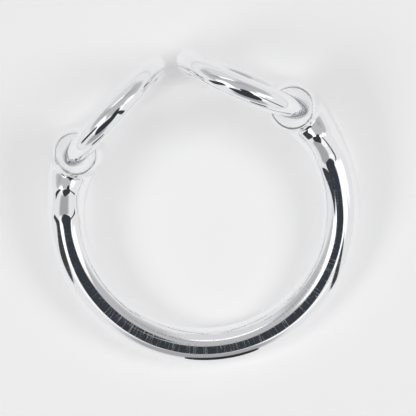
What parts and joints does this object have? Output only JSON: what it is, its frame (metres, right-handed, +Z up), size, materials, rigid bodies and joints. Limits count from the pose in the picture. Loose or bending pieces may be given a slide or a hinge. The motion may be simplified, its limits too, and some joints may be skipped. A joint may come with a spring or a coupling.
{
  "type": "metal ring disentanglement puzzle",
  "caption": "Polished round-bar open ring with a drilled eye at each end and a closed loose ring captive in each eye, the loose rings meeting across the gap.",
  "frame": {"origin": "middle of the footprint on the ground, as the object stands on the bar's far side and both loose rings", "axes": "+Z up from the ground; +Y from the bar's closed side towards the gap and the loose rings; +X to the right eye"},
  "size_m": [0.075, 0.0748, 0.0337],
  "materials": {
    "polished_metal": "polished"
  },
  "bodies": {
    "c_bar": {"c_bar": "polished_metal"},
    "left_ring": {"left_ring": "polished_metal"},
    "right_ring": {"right_ring": "polished_metal"}
  },
  "joints": [
    {"name": "left_ring_swing", "type": "hinge", "parent": "c_bar", "child": "left_ring", "pos_m": [-0.02622, 0.01898, 0.01535], "axis": [0, -0.2046, 0.9788], "range_deg": [-4, 200]},
    {"name": "right_ring_swing", "type": "hinge", "parent": "c_bar", "child": "right_ring", "pos_m": [0.02622, 0.01898, 0.01535], "axis": [0, 0.2046, -0.9788], "range_deg": [-4, 200]}
  ]
}
